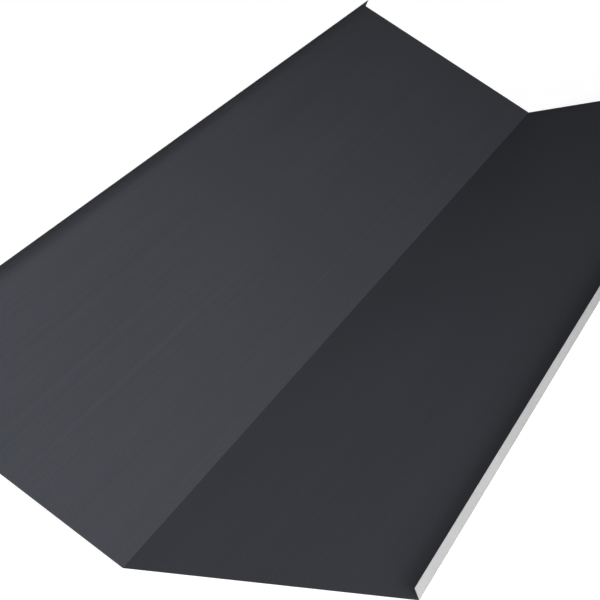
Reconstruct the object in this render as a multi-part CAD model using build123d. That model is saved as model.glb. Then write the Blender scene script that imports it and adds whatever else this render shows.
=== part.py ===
from build123d import *
import os

# Valley flashing: one coated steel sheet, folded along its length.
# It is stored as it lies on a level floor, tipped onto its right wing. The left wing then slopes up.
# X runs across the sheet and Y along it. The floor is Z = 0, and the origin is under the middle of the sheet.
# The sheet's underside faces the roof, and is on the outside of every bend.

# Driving dimensions, in millimetres and degrees
sheet_length = 2000.0
sheet_thickness = 0.5
wing_width = 585.0  # each wing, from the sharp corner of the valley to the outer face of its lip
valley_angle = 135.0  # between the top faces of the two wings
lip_height = 23.0  # from the wing's underside to the lip's free edge
lip_angle = 90.0  # between the wing and its lip
valley_bend_radius = 1.0  # inside radius, on the top face
lip_bend_radius = 1.0  # inside radius, on the top face


def underside_corners():
    """The sharp corners of the underside, from the free edge of the left lip to that of the right lip."""
    valley = Vector(0, 0)
    wing_out = Vector(wing_width, 0)
    lip_up = Vector(lip_height, 0).rotate(Axis.Z, 180 - lip_angle)
    right = [wing_out, wing_out + lip_up]
    left = [Vector(-p.X, p.Y).rotate(Axis.Z, valley_angle - 180) for p in right]
    return [left[1], left[0], valley, right[0], right[1]]


def sheet_section():
    """The folded section: the underside line with its bends, thickened upwards."""
    outer_radii = [
        lip_bend_radius + sheet_thickness,
        valley_bend_radius + sheet_thickness,
        lip_bend_radius + sheet_thickness,
    ]
    underside = FilletPolyline(*underside_corners(), radius=outer_radii)
    return make_face(offset(underside, amount=sheet_thickness, side=Side.LEFT, closed=True))


def valley_sheet():
    """The section on edge, drawn out to the sheet's length and centred over the floor."""
    on_edge = Plane.XZ * sheet_section()
    sheet = extrude(on_edge, amount=sheet_length / 2, both=True)
    box = sheet.bounding_box()
    return Pos(-(box.min.X + box.max.X) / 2, 0, -box.min.Z) * sheet


sheet = valley_sheet()
sheet.label = "flashing_sheet"

os.makedirs("parts", exist_ok=True)
export_step(sheet, "parts/flashing_sheet.step")
print(sheet.bounding_box(), "volume", sheet.volume)
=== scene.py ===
import math

import bpy
from mathutils import Matrix, Vector


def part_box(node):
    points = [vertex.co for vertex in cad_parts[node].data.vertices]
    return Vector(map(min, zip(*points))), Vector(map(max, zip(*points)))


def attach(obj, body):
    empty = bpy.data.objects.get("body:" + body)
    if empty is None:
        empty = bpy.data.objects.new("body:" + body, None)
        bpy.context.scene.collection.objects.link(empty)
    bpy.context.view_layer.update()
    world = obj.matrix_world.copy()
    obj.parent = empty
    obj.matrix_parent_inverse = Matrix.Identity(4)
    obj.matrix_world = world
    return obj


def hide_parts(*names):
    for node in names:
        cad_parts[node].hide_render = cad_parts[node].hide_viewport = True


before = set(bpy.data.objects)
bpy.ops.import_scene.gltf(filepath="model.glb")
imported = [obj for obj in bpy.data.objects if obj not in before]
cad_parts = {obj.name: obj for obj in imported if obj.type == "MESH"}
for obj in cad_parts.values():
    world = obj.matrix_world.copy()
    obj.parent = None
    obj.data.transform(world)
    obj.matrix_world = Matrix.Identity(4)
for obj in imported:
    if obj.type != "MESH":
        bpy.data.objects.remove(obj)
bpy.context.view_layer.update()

nodeLow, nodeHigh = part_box("flashing_sheet")
mm = 0.001  # sizes are in metres, written as so many millimetres


def addNode(tree, kind, inputs=None, captured=(), **settings):
    # one node with the floats that it captures, its settings, its typed-in values and its links
    node = tree.nodes.new(kind)
    for name in captured:
        node.capture_items.new("FLOAT", name)
    for name, value in settings.items():
        setattr(node, name, value)
    for name, value in (inputs or {}).items():
        socket = node.inputs[name]
        if isinstance(value, bpy.types.NodeSocket):
            tree.links.new(value, socket)
        else:
            socket.default_value = value
    return node.outputs


def linear(hexColour):
    # an sRGB hex colour as the linear values that nodes want
    parts = [int(hexColour[i:i + 2], 16) / 255 for i in (1, 3, 5)]
    return [c / 12.92 if c <= 0.04045 else ((c + 0.055) / 1.055) ** 2.4 for c in parts] + [1.0]


# Camera: the photo's own angle. It is tilted because the sheet is stored tipped onto its right wing.
photoCamera = {
    "place": (1.3631, -2.0543, 1.0518),
    "azimuth": 39.47,  # degrees, turned from looking along +Y towards -X
    "elevation": 22.24,  # degrees, looking down
    "roll": -21.31,  # degrees
    "lens": 70.4,  # mm
    "reach": 200,  # metres, well past the backdrop
}


def makeCamera(view):
    data = bpy.data.cameras.new("photoCamera")
    data.lens = view["lens"]
    data.clip_end = view["reach"]
    camera = bpy.data.objects.new("photoCamera", data)
    turn = Matrix.Rotation(math.radians(view["azimuth"]), 4, "Z")
    dip = Matrix.Rotation(math.radians(90 - view["elevation"]), 4, "X")
    roll = Matrix.Rotation(math.radians(view["roll"]), 4, "Z")
    camera.matrix_world = Matrix.Translation(view["place"]) @ turn @ dip @ roll
    bpy.context.scene.collection.objects.link(camera)
    bpy.context.scene.camera = camera


makeCamera(photoCamera)
print("camera ready")

noiseRange = (0.3, 0.7)  # nearly all of a noise's values lie in here, and are stretched to between 0 and 1
noiseDetail = {"smooth": 0.0, "soft": 2.0, "broken": 4.0}  # octaves of finer noise


def startFinish(name, evenValues):
    # a new material, with the values that are the same all over set on its shader
    material = bpy.data.materials.new(name)
    material.use_nodes = True
    shader = material.node_tree.nodes["Principled BSDF"]
    for socket, value in evenValues.items():
        shader.inputs[socket].default_value = value
    return material, material.node_tree, shader


def addPattern(tree, size, detail="soft"):
    # uneven patches, so many mm across and along the strip that was coated before it was folded
    across, along = size
    strip = addNode(tree, "ShaderNodeUVMap", uv_map="strip")["UV"]
    patches = (1 / (across * mm), 1 / (along * mm), 1)
    place = addNode(tree, "ShaderNodeVectorMath", {0: strip, 1: patches}, operation="MULTIPLY")[0]
    fineness = {"Vector": place, "Scale": 1.0, "Detail": noiseDetail[detail]}
    noise = addNode(tree, "ShaderNodeTexNoise", fineness, noise_dimensions="2D")["Fac"]
    lowest, highest = noiseRange
    return addNode(tree, "ShaderNodeMapRange", {"Value": noise, "From Min": lowest, "From Max": highest},
                   clamp=False)[0]


def layOver(tree, below, layers):
    # patterns laid one after another over the one below, each with its share
    for pattern, share in layers:
        below = addNode(tree, "ShaderNodeMix", {0: share, 2: below, 3: pattern}, data_type="FLOAT")[0]
    return below


def tint(tree, shader, finish, pattern):
    # colour between the finish's deep and pale tones
    deep, pale = linear(finish["deep tone"]), linear(finish["pale tone"])
    tone = addNode(tree, "ShaderNodeMix", {0: pattern, 6: deep, 7: pale}, data_type="RGBA")[2]
    tree.links.new(tone, shader.inputs["Base Color"])


def dull(tree, shader, finish, pattern):
    # roughness between the finish's smooth and dull values
    smooth, rough = finish["roughness"]
    dullness = addNode(tree, "ShaderNodeMapRange", {"Value": pattern, "To Min": smooth, "To Max": rough})[0]
    tree.links.new(dullness, shader.inputs["Roughness"])


def emboss(tree, shader, layers):
    # one bump over another, each a pattern and its height in mm
    normal = None
    for pattern, height in layers:
        inputs = {"Height": pattern, "Distance": height * mm}
        if normal:
            inputs["Normal"] = normal
        normal = addNode(tree, "ShaderNodeBump", inputs)[0]
    tree.links.new(normal, shader.inputs["Normal"])


# Matt graphite polyester coil coating, rolled onto flat strip and baked, and then folded with it. It gives a
# dark face with hardly any gloss, whose tone drifts a little, with faint streaks along the strip and a fine
# pebbled grain. Pairs of sizes are in mm, across and along the strip, and heights are in mm too.
topCoat = {
    "deep tone": "#36383c",
    "pale tone": "#43454b",
    "gloss": 0.03,  # specular level, matched to the photo. Plain paint has 0.5
    "roughness": (0.58, 0.72),
    "drift": (220, 800),
    "streaks": (8, 1100),  # roller marks are 1 to 3 mm apart, and drawn wider so that they show
    "grain": (1.8, 2.2),  # shows close up, and evens out at the photo's distance, as it does there
    "streaks over drift": 0.6,
    "grain over both": 0.7,
    "grain in the dullness": 0.5,
    "grain height": 0.03,
    "waves": (170, 310),  # thin sheet is never quite flat between its folds
    "waves height": 0.3,
    "press line": 2.0,  # on each side of a fold, where the folding bar has polished the paint
    "press polish": 0.3,  # how much nearer the smooth end of the roughness it is there
}


def addPressLines(tree, finish, wingWidth):
    # less than 1 beside the folds, and 1 away from them. The strip's own X starts at the valley, and each
    # lip's fold is a wing's width away from it.
    strip = addNode(tree, "ShaderNodeUVMap", uv_map="strip")["UV"]
    across = addNode(tree, "ShaderNodeSeparateXYZ", {0: strip})["X"]
    fromValley = addNode(tree, "ShaderNodeMath", {0: across}, operation="ABSOLUTE")[0]
    pastLip = addNode(tree, "ShaderNodeMath", {0: fromValley, 1: wingWidth}, operation="SUBTRACT")[0]
    fromLip = addNode(tree, "ShaderNodeMath", {0: pastLip}, operation="ABSOLUTE")[0]
    fromFold = addNode(tree, "ShaderNodeMath", {0: fromValley, 1: fromLip}, operation="MINIMUM")[0]
    fade = {"Value": fromFold, "From Max": finish["press line"] * mm, "To Min": 1 - finish["press polish"]}
    return addNode(tree, "ShaderNodeMapRange", fade, interpolation_type="SMOOTHSTEP")[0]


def paintGraphite(finish, wingWidth):
    material, tree, shader = startFinish("graphitePolyesterCoat", {"Specular IOR Level": finish["gloss"]})
    drift = addPattern(tree, finish["drift"])
    streaks = addPattern(tree, finish["streaks"])
    grain = addPattern(tree, finish["grain"], "broken")
    waves = addPattern(tree, finish["waves"], "smooth")
    layers = [(streaks, finish["streaks over drift"]), (grain, finish["grain over both"])]
    tint(tree, shader, finish, layOver(tree, drift, layers))
    unpressed = layOver(tree, streaks, [(grain, finish["grain in the dullness"])])
    pressed = addPressLines(tree, finish, wingWidth)
    worn = addNode(tree, "ShaderNodeMath", {0: unpressed, 1: pressed}, operation="MULTIPLY")[0]
    dull(tree, shader, finish, worn)
    emboss(tree, shader, [(waves, finish["waves height"]), (grain, finish["grain height"])])
    return material


# Light grey epoxy back coat, a thin film rolled onto the strip's other side. It gives a pale and rather matt
# face, streaked along the strip and a little cloudy where the zinc's tone comes through.
backCoat = {
    "deep tone": "#969696",
    "pale tone": "#a3a3a3",
    "gloss": 0.3,
    "roughness": (0.48, 0.62),
    "clouds": (90, 150),
    "streaks": (6, 700),  # drawn wider than the real roller marks, as on the top
    "grain": (1.8, 2.2),
    "grain over streaks": 0.65,
    "clouds over both": 0.5,
    "grain in the dullness": 0.5,
    "grain height": 0.015,
    "waves": (170, 310),
    "waves height": 0.3,
}


def rollBackCoat(finish):
    material, tree, shader = startFinish("greyEpoxyBackCoat", {"Specular IOR Level": finish["gloss"]})
    clouds = addPattern(tree, finish["clouds"], "broken")
    streaks = addPattern(tree, finish["streaks"])
    grain = addPattern(tree, finish["grain"], "broken")
    waves = addPattern(tree, finish["waves"], "smooth")
    layers = [(grain, finish["grain over streaks"]), (clouds, finish["clouds over both"])]
    tint(tree, shader, finish, layOver(tree, streaks, layers))
    dull(tree, shader, finish, layOver(tree, streaks, [(grain, finish["grain in the dullness"])]))
    emboss(tree, shader, [(waves, finish["waves height"]), (grain, finish["grain height"])])
    return material


# Galvanised steel cut on a shear, which leaves a burnished band and a torn one with zinc dragged over both.
# It gives a thin bright line that is greyer in places.
cutEdge = {
    "deep tone": "#8d9093",
    "pale tone": "#b4b6b8",
    "roughness": (0.35, 0.6),
    "tears": (3, 3),  # real tears are 0.1 mm wide, and drawn wider so that they show
    "tears height": 0.05,
}


def shearZincSteel(finish):
    material, tree, shader = startFinish("shearedZincSteel", {"Metallic": 1.0})
    tears = addPattern(tree, finish["tears"], "broken")
    tint(tree, shader, finish, tears)
    dull(tree, shader, finish, tears)
    emboss(tree, shader, [(tears, finish["tears height"])])
    return material


# The sheet: one strip folded along its length. The right wing lies flat and the left one rises.
sheetSizes = {
    "Sheet length": nodeHigh.y - nodeLow.y,
    "Wing width": 585 * mm,  # from the sharp corner of the valley to the outer face of the lip
    "Lip height": 23 * mm,
    "Sheet thickness": 0.5 * mm,
    "Inside bend radius": 1 * mm,
    "Valley angle": math.radians(135),
}
sheetFinishes = {
    "Top coat": paintGraphite(topCoat, sheetSizes["Wing width"]),
    "Back coat": rollBackCoat(backCoat),
    "Cut edge": shearZincSteel(cutEdge),
}
cornerCount = 5  # the valley, two lip folds and two free edges
bendPoints = 8  # round each bend
creaseAngle = math.radians(40)  # more than a bend turns at one point, and less than a cut edge's 90
coatDepths = {"back": 0.25, "top": 0.75}  # shares of the thickness, with the cut edges' faces between them
print("coats mixed")


def addCorners(tree, given):
    # The underside's corners, numbered from -2 at the left lip's free edge to 2 at the right lip's. They are
    # placed with both wings flat and both lips upright, and what is left of the valley is then turned up.
    index = addNode(tree, "GeometryNodeInputIndex")[0]
    number = addNode(tree, "ShaderNodeMath", {0: index, 1: (cornerCount - 1) / 2}, operation="SUBTRACT")[0]
    side = addNode(tree, "ShaderNodeMath", {0: number}, operation="SIGN")[0]
    across = addNode(tree, "ShaderNodeMath", {0: side, 1: given["Wing width"]}, operation="MULTIPLY")[0]
    away = addNode(tree, "ShaderNodeMath", {0: number}, operation="ABSOLUTE")[0]
    free = addNode(tree, "ShaderNodeMath", {0: away, 1: 1}, operation="GREATER_THAN")[0]
    upward = addNode(tree, "ShaderNodeMath", {0: free, 1: given["Lip height"]}, operation="MULTIPLY")[0]
    flat = addNode(tree, "ShaderNodeCombineXYZ", {0: across, 1: upward})[0]
    onLeft = addNode(tree, "ShaderNodeMath", {0: number, 1: 0}, operation="LESS_THAN")[0]
    tilt = addNode(tree, "ShaderNodeMath", {0: given["Valley angle"], 1: math.pi}, operation="SUBTRACT")[0]
    turn = addNode(tree, "ShaderNodeMath", {0: onLeft, 1: tilt}, operation="MULTIPLY")[0]
    turned = {"Vector": flat, "Angle": turn}
    return addNode(tree, "ShaderNodeVectorRotate", turned, rotation_type="Z_AXIS")[0]


def addFoldedLine(tree, given):
    # the underside's line with its bends rounded
    corners = addCorners(tree, given)
    line = addNode(tree, "GeometryNodeMeshLine", {"Count": cornerCount})[0]
    line = addNode(tree, "GeometryNodeSetPosition", {"Geometry": line, "Position": corners})[0]
    line = addNode(tree, "GeometryNodeMeshToCurve", {"Mesh": line})[0]
    outwards = {0: given["Inside bend radius"], 1: given["Sheet thickness"]}
    radius = addNode(tree, "ShaderNodeMath", outwards, operation="ADD")[0]
    bend = {"Curve": line, "Count": bendPoints, "Radius": radius, "Limit Radius": False}
    line = addNode(tree, "GeometryNodeFilletCurve", bend, mode="POLY")[0]
    line = addNode(tree, "GeometryNodeSetCurveNormal", {"Curve": line}, mode="Z_UP")[0]

    # how far each point lies from the valley when the sheet is a flat strip, for the patterns of its coats
    whole = addNode(tree, "GeometryNodeSplineLength")["Length"]
    half = addNode(tree, "ShaderNodeMath", {0: whole, 1: 0.5}, operation="MULTIPLY")[0]
    fromEnd = addNode(tree, "GeometryNodeSplineParameter")["Length"]
    fromValley = addNode(tree, "ShaderNodeMath", {0: fromEnd, 1: half}, operation="SUBTRACT")[0]
    kept = {"Geometry": line, "across": fromValley}
    return addNode(tree, "GeometryNodeCaptureAttribute", kept, captured=["across"])


def addSlice(tree, given):
    # a rectangle as wide as the sheet is thick and as tall as it is long, from the underside inwards
    thickness = given["Sheet thickness"]
    size = {"Width": thickness, "Height": given["Sheet length"]}
    rectangle = addNode(tree, "GeometryNodeCurvePrimitiveQuadrilateral", size)[0]
    inward = addNode(tree, "ShaderNodeMath", {0: thickness, 1: -0.5}, operation="MULTIPLY")[0]
    shift = addNode(tree, "ShaderNodeCombineXYZ", {0: inward})[0]
    rectangle = addNode(tree, "GeometryNodeTransform", {"Geometry": rectangle, "Translation": shift})[0]
    place = addNode(tree, "ShaderNodeSeparateXYZ", {0: addNode(tree, "GeometryNodeInputPosition")[0]})
    kept = {"Geometry": rectangle, "depth": place["X"], "along": place["Y"]}
    return addNode(tree, "GeometryNodeCaptureAttribute", kept, captured=["depth", "along"])


def foldedSheetTree():
    # a slice of sheet, swept standing along the folded line and then laid down
    tree = bpy.data.node_groups.new("foldedSheet", "GeometryNodeTree")
    for name in sheetSizes:
        tree.interface.new_socket(name, in_out="INPUT", socket_type="NodeSocketFloat")
    for name in sheetFinishes:
        tree.interface.new_socket(name, in_out="INPUT", socket_type="NodeSocketMaterial")
    tree.interface.new_socket("Geometry", in_out="OUTPUT", socket_type="NodeSocketGeometry")
    given = addNode(tree, "NodeGroupInput")
    line = addFoldedLine(tree, given)
    upright = addSlice(tree, given)
    sweep = {"Curve": line["Geometry"], "Profile Curve": upright["Geometry"], "Fill Caps": True}
    sheet = addNode(tree, "GeometryNodeCurveToMesh", sweep)[0]

    # where each corner of a face lies on the flat strip
    strip = addNode(tree, "ShaderNodeCombineXYZ", {0: line["across"], 1: upright["along"]})[0]
    stored = {"Geometry": sheet, "Name": "strip", "Value": strip}
    sheet = addNode(tree, "GeometryNodeStoreNamedAttribute", stored, data_type="FLOAT2", domain="CORNER")[0]

    # smooth bends between sharp cut edges
    edgeAngle = addNode(tree, "GeometryNodeInputMeshEdgeAngle")[0]
    sharp = addNode(tree, "ShaderNodeMath", {0: edgeAngle, 1: creaseAngle}, operation="GREATER_THAN")[0]
    sheet = addNode(tree, "GeometryNodeSetShadeSmooth", {"Geometry": sheet}, domain="FACE")[0]
    creased = {"Geometry": sheet, "Selection": sharp, "Shade Smooth": False}
    sheet = addNode(tree, "GeometryNodeSetShadeSmooth", creased, domain="EDGE")[0]
    quarterTurn = (math.radians(90), 0, 0)
    sheet = addNode(tree, "GeometryNodeTransform", {"Geometry": sheet, "Rotation": quarterTurn})[0]

    # the top's faces have their corners deep in the slice, the back's shallow, and a cut edge's some of each
    inward = addNode(tree, "ShaderNodeMath", {0: upright["depth"]}, operation="ABSOLUTE")[0]
    depth = addNode(tree, "ShaderNodeMath", {0: inward, 1: given["Sheet thickness"]}, operation="DIVIDE")[0]
    depth = addNode(tree, "GeometryNodeFieldOnDomain", {0: depth}, domain="FACE", data_type="FLOAT")[0]
    onTop = addNode(tree, "ShaderNodeMath", {0: depth, 1: coatDepths["top"]}, operation="GREATER_THAN")[0]
    onBack = addNode(tree, "ShaderNodeMath", {0: depth, 1: coatDepths["back"]}, operation="LESS_THAN")[0]
    sheet = addNode(tree, "GeometryNodeRealizeInstances", {"Geometry": sheet})[0]
    sheet = addNode(tree, "GeometryNodeSetMaterial", {"Geometry": sheet, "Material": given["Cut edge"]})[0]
    for faces, coat in ((onTop, "Top coat"), (onBack, "Back coat")):
        painted = {"Geometry": sheet, "Selection": faces, "Material": given[coat]}
        sheet = addNode(tree, "GeometryNodeSetMaterial", painted)[0]
    addNode(tree, "NodeGroupOutput", {0: sheet})
    return tree


def foldSheet():
    # the folded mesh, moved over so that its right lip meets the CAD piece's right side
    maker = bpy.data.objects.new("sheetMaker", bpy.data.meshes.new("sheetMaker"))
    bpy.context.scene.collection.objects.link(maker)
    modifier = maker.modifiers.new("foldedSheet", "NODES")
    modifier.node_group = foldedSheetTree()
    chosen = {**sheetSizes, **sheetFinishes}
    for item in modifier.node_group.interface.items_tree:
        if item.in_out == "INPUT":
            modifier[item.identifier] = chosen[item.name]
    evaluated = maker.evaluated_get(bpy.context.evaluated_depsgraph_get())
    mesh = bpy.data.meshes.new_from_object(evaluated)
    bpy.data.objects.remove(maker)
    mesh.name = "flashing"
    mesh.transform(Matrix.Translation((nodeHigh.x - sheetSizes["Wing width"], 0, 0)))
    sheet = bpy.data.objects.new("flashing", mesh)
    bpy.context.scene.collection.objects.link(sheet)
    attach(sheet, "root")
    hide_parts("flashing_sheet")


foldSheet()
print("sheet folded")

# Studio: a pale floor that sweeps up into a low backdrop, a soft key light low in front on the right, a soft
# light overhead, a weak one on the right, a fill on the left for the underside, and dim air. Places are in
# metres and powers in watts.
studio = {
    "sweep": ((0, 0), (36, 0), (38.5, 0.5), (39.6, 2), (40, 5), (40, 9), (40, 13)),  # radius and height
    "sides": 96,
    "floor colour": "#e6e6e6",
    "air colour": "#272727",
    "shadow share": 0.45,  # how much of the floor's own light and shade the camera sees round the sheet
    "shadow reach": (1.1, 2.4),  # from the sheet's middle, over which the floor turns plain white
    "near glow": 1.52,  # as strong as it takes to look white there too
    "backdrop fade": (4.5, 13),  # upwards, from white to the tone of the air
}
lights = {
    "keyLight": {"place": (2.55, -2.34, 0.81), "power": 91},
    "topLight": {"place": (0.0, -1.40, 2.18), "power": 28},
    "sideLight": {"place": (3.91, -0.20, 0.93), "power": 51},
    "leftFill": {"place": (-4.89, -0.20, 1.14), "power": 150},
}
softbox = {"width": 1.4, "aim": (0, -0.2, 0.1)}


def sweepMesh(rings, sides):
    # a disc that turns up at its rim, with its faces towards the sheet
    points = [(0, 0, 0)]
    for radius, height in rings[1:]:
        for i in range(sides):
            angle = math.tau * i / sides
            points.append((radius * math.cos(angle), radius * math.sin(angle), height))
    faces = []
    for i in range(sides):
        after = (i + 1) % sides
        faces.append((0, 1 + i, 1 + after))
        for ring in range(len(rings) - 2):
            low = 1 + ring * sides
            faces.append((low + i, low + sides + i, low + sides + after, low + after))
    mesh = bpy.data.meshes.new("floor")
    mesh.from_pydata(points, [], faces)
    mesh.polygons.foreach_set("use_smooth", [True] * len(faces))
    return mesh


def paintFloor():
    # Matt pale paint. The camera sees it white, because a glow is mixed in. Less is mixed in round the
    # sheet, so that its shadow shows, and at the backdrop's top the glow is as dim as the air.
    material = bpy.data.materials.new("mattPaleFloor")
    material.use_nodes = True
    tree = material.node_tree
    tree.nodes.clear()
    ray = addNode(tree, "ShaderNodeLightPath")
    direct = {0: ray["Is Camera Ray"], 1: ray["Is Glossy Ray"]}
    seen = addNode(tree, "ShaderNodeMath", direct, operation="MAXIMUM")[0]
    seen = addNode(tree, "ShaderNodeMath", {0: seen, 1: ray["Is Transmission Ray"]}, operation="MAXIMUM")[0]
    place = addNode(tree, "ShaderNodeTexCoord")["Object"]
    away = addNode(tree, "ShaderNodeVectorMath", {0: place}, operation="LENGTH")["Value"]
    near, far = studio["shadow reach"]
    outwards = {"Value": away, "From Min": near, "From Max": far}
    share = addNode(tree, "ShaderNodeMapRange", {**outwards, "To Min": 1 - studio["shadow share"]},
                    interpolation_type="SMOOTHSTEP")[0]
    strength = addNode(tree, "ShaderNodeMapRange", {**outwards, "To Min": studio["near glow"]},
                       interpolation_type="SMOOTHSTEP")[0]
    height = addNode(tree, "ShaderNodeSeparateXYZ", {0: place})["Z"]
    start, top = studio["backdrop fade"]
    airTone = linear(studio["air colour"])[0]
    upwards = {"Value": height, "From Min": start, "From Max": top, "To Min": 1.0, "To Max": airTone}
    upper = addNode(tree, "ShaderNodeMapRange", upwards, interpolation_type="SMOOTHSTEP")[0]
    strength = addNode(tree, "ShaderNodeMath", {0: strength, 1: upper}, operation="MULTIPLY")[0]
    glowShare = addNode(tree, "ShaderNodeMath", {0: seen, 1: share}, operation="MULTIPLY")[0]
    matt = addNode(tree, "ShaderNodeBsdfDiffuse", {"Color": linear(studio["floor colour"])})[0]
    glow = addNode(tree, "ShaderNodeEmission", {"Strength": strength})[0]
    mix = addNode(tree, "ShaderNodeMixShader", {0: glowShare, 1: matt, 2: glow})[0]
    addNode(tree, "ShaderNodeOutputMaterial", {"Surface": mix})
    return material


def layFloor():
    floor = bpy.data.objects.new("floor", sweepMesh(studio["sweep"], studio["sides"]))
    bpy.context.scene.collection.objects.link(floor)
    floor.data.materials.append(paintFloor())


def hangLights():
    for name, light in lights.items():
        data = bpy.data.lights.new(name, "AREA")
        data.size = softbox["width"]
        data.energy = light["power"]
        lamp = bpy.data.objects.new(name, data)
        lamp.location = light["place"]
        lamp.rotation_euler = (Vector(softbox["aim"]) - lamp.location).to_track_quat("-Z", "Y").to_euler()
        lamp.visible_camera = False
        bpy.context.scene.collection.objects.link(lamp)


def fillAir():
    world = bpy.data.worlds.new("studioAir")
    world.use_nodes = True
    world.node_tree.nodes["Background"].inputs["Color"].default_value = linear(studio["air colour"])
    bpy.context.scene.world = world


layFloor()
hangLights()
fillAir()
bpy.context.scene.view_settings.view_transform = "Standard"
print("studio lit")
